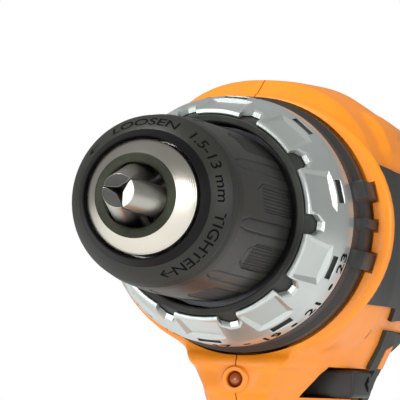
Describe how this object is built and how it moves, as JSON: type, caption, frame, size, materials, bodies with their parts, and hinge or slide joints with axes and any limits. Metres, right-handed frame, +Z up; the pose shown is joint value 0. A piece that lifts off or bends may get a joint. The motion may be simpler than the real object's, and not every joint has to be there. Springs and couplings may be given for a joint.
{
  "type": "cordless drill",
  "caption": "Cordless pistol-grip drill with a keyless chuck, a clutch dial, a trigger, a direction lever and a slide-off battery.",
  "frame": {"origin": "centre of the battery's flat underside", "axes": "+Z up, the drill points along -Y, and X runs across it"},
  "size_m": [0.0782, 0.212, 0.2443],
  "materials": {
    "chuck_steel": "satin turned steel",
    "jaw_steel": "ground tool steel",
    "machined_steel": "machined steel",
    "dark_steel": "blackened steel",
    "cast_aluminium": "die cast",
    "bronze": "machined",
    "copper": "copper bars",
    "sleeve_plastic": "fine satin moulded plastic",
    "dial_silver": "satin metallic lacquer",
    "dial_grey": "fine grain plastic",
    "collar_black": "moulded plastic",
    "housing_orange": "satin moulded plastic",
    "panel_black": "moulded plastic",
    "grip_rubber": "soft grip with fine grain",
    "led_amber": "tinted clear lens",
    "inner_black": "moulded plastic",
    "battery_black": "moulded plastic",
    "release_orange": "moulded plastic",
    "cell_wrap": "shrink sleeve"
  },
  "bodies": {
    "housing": {"housing_left": "housing_orange", "housing_right": "housing_orange", "side_panel_left": "panel_black", "side_panel_right": "panel_black", "grip_left": "grip_rubber", "grip_right": "grip_rubber", "led_lens": "led_amber", "housing_screw_1": "dark_steel", "housing_screw_2": "dark_steel", "housing_screw_3": "dark_steel", "housing_screw_4": "dark_steel", "gearcase": "cast_aluminium", "gearcase_collar": "collar_black", "spindle_bearing": "machined_steel", "clutch_washer": "dark_steel", "ring_gear_rear": "machined_steel", "motor_can": "machined_steel", "motor_end_cap": "inner_black", "motor_magnet": "dark_steel", "switch_body": "inner_black", "terminal_block": "inner_black"},
    "motor": {"motor_shaft": "machined_steel", "motor_pinion": "machined_steel", "rotor_core": "dark_steel", "motor_fan": "inner_black", "commutator": "copper"},
    "rear_carrier": {"carrier_rear": "machined_steel"},
    "rear_planet_1": {"planet_rear_1": "machined_steel"},
    "rear_planet_2": {"planet_rear_2": "machined_steel"},
    "rear_planet_3": {"planet_rear_3": "machined_steel"},
    "output": {"spindle": "machined_steel", "carrier_front": "machined_steel", "chuck_body": "chuck_steel", "chuck_screw": "dark_steel"},
    "front_planet_1": {"planet_front_1": "machined_steel"},
    "front_planet_2": {"planet_front_2": "machined_steel"},
    "front_planet_3": {"planet_front_3": "machined_steel"},
    "sleeve": {"chuck_sleeve": "sleeve_plastic", "chuck_nut": "bronze"},
    "jaw_1_body": {"jaw_1": "jaw_steel"},
    "jaw_2_body": {"jaw_2": "jaw_steel"},
    "jaw_3_body": {"jaw_3": "jaw_steel"},
    "dial": {"clutch_dial_shell": "dial_silver", "clutch_dial_core": "dial_grey"},
    "clutch_nut_body": {"clutch_nut": "bronze", "clutch_spring": "dark_steel"},
    "trigger_body": {"trigger": "panel_black", "trigger_spring": "dark_steel"},
    "lever": {"direction_lever": "panel_black"},
    "selector": {"speed_selector": "panel_black", "shift_fork": "machined_steel", "ring_gear_front": "machined_steel"},
    "battery": {"battery_case": "battery_black", "battery_lid": "battery_black", "battery_cell_1": "cell_wrap", "battery_cell_2": "cell_wrap", "battery_cell_3": "cell_wrap", "battery_cell_4": "cell_wrap", "battery_cell_5": "cell_wrap"},
    "release": {"battery_release": "release_orange"}
  },
  "joints": [
    {"name": "motor_spin", "type": "hinge", "parent": "housing", "child": "motor", "pos_m": [0, 0.02, 0.2], "axis": [0, -1, 0], "continuous": true},
    {"name": "rear_carrier_spin", "type": "hinge", "parent": "housing", "child": "rear_carrier", "pos_m": [0, -0.02, 0.2], "axis": [0, -1, 0], "continuous": true},
    {"name": "rear_planet_1_spin", "type": "hinge", "parent": "rear_carrier", "child": "rear_planet_1", "pos_m": [0, -0.017, 0.21208], "axis": [0, -1, 0], "continuous": true},
    {"name": "rear_planet_2_spin", "type": "hinge", "parent": "rear_carrier", "child": "rear_planet_2", "pos_m": [-0.01046, -0.017, 0.19396], "axis": [0, -1, 0], "continuous": true},
    {"name": "rear_planet_3_spin", "type": "hinge", "parent": "rear_carrier", "child": "rear_planet_3", "pos_m": [0.01046, -0.017, 0.19396], "axis": [0, -1, 0], "continuous": true},
    {"name": "output_spin", "type": "hinge", "parent": "housing", "child": "output", "pos_m": [0, -0.07, 0.2], "axis": [0, -1, 0], "continuous": true},
    {"name": "front_planet_1_spin", "type": "hinge", "parent": "output", "child": "front_planet_1", "pos_m": [0, -0.0295, 0.21208], "axis": [0, -1, 0], "continuous": true},
    {"name": "front_planet_2_spin", "type": "hinge", "parent": "output", "child": "front_planet_2", "pos_m": [-0.01046, -0.0295, 0.19396], "axis": [0, -1, 0], "continuous": true},
    {"name": "front_planet_3_spin", "type": "hinge", "parent": "output", "child": "front_planet_3", "pos_m": [0.01046, -0.0295, 0.19396], "axis": [0, -1, 0], "continuous": true},
    {"name": "sleeve_turn", "type": "hinge", "parent": "output", "child": "sleeve", "pos_m": [0, -0.1, 0.2], "axis": [0, -1, 0], "range_deg": [0, 3240]},
    {"name": "jaw_1_slide", "type": "slide", "parent": "output", "child": "jaw_1_body", "axis": [0.2674, 0.9613, -0.0667], "range_m": [0, 0.02101]},
    {"name": "jaw_2_slide", "type": "slide", "parent": "output", "child": "jaw_2_body", "axis": [-0.076, 0.9613, 0.265], "range_m": [0, 0.02101]},
    {"name": "jaw_3_slide", "type": "slide", "parent": "output", "child": "jaw_3_body", "axis": [-0.1915, 0.9613, -0.1983], "range_m": [0, 0.02101]},
    {"name": "clutch_turn", "type": "hinge", "parent": "housing", "child": "dial", "pos_m": [0, -0.065, 0.2], "axis": [0, -1, 0], "range_deg": [-276, 12]},
    {"name": "clutch_nut_slide", "type": "slide", "parent": "housing", "child": "clutch_nut_body", "axis": [0, 1, 0], "range_m": [-0.00025, 0.0058], "deforming": ["clutch_spring"]},
    {"name": "trigger_slide", "type": "slide", "parent": "housing", "child": "trigger_body", "axis": [0, 1, 0], "range_m": [0, 0.007], "stiffness_N_per_m": 500, "springref_m": -0.004, "deforming": ["trigger_spring"]},
    {"name": "lever_slide", "type": "slide", "parent": "housing", "child": "lever", "axis": [1, 0, 0], "range_m": [-0.007, 0]},
    {"name": "selector_slide", "type": "slide", "parent": "housing", "child": "selector", "axis": [0, 1, 0], "range_m": [0, 0.004]},
    {"name": "battery_slide", "type": "slide", "parent": "housing", "child": "battery", "axis": [0, -1, 0], "range_m": [0, 0.09]},
    {"name": "release_press", "type": "slide", "parent": "battery", "child": "release", "axis": [0, 1, 0], "range_m": [0, 0.003], "stiffness_N_per_m": 900, "springref_m": -0.002}
  ],
  "couplings": [
    {"joint": "rear_carrier_spin", "follows": "motor_spin", "ratio": 0.21429},
    {"joint": "rear_planet_1_spin", "follows": "motor_spin", "ratio": -0.58929},
    {"joint": "rear_planet_2_spin", "follows": "motor_spin", "ratio": -0.58929},
    {"joint": "rear_planet_3_spin", "follows": "motor_spin", "ratio": -0.58929},
    {"joint": "output_spin", "follows": "motor_spin", "ratio": 0.045918},
    {"joint": "front_planet_1_spin", "follows": "motor_spin", "ratio": -0.12628},
    {"joint": "front_planet_2_spin", "follows": "motor_spin", "ratio": -0.12628},
    {"joint": "front_planet_3_spin", "follows": "motor_spin", "ratio": -0.12628},
    {"joint": "jaw_1_slide", "follows": "sleeve_turn", "m_per_rad": 0.00037136},
    {"joint": "jaw_2_slide", "follows": "sleeve_turn", "m_per_rad": 0.00037136},
    {"joint": "jaw_3_slide", "follows": "sleeve_turn", "m_per_rad": 0.00037136},
    {"joint": "clutch_nut_slide", "follows": "clutch_turn", "m_per_rad": -0.00119}
  ]
}
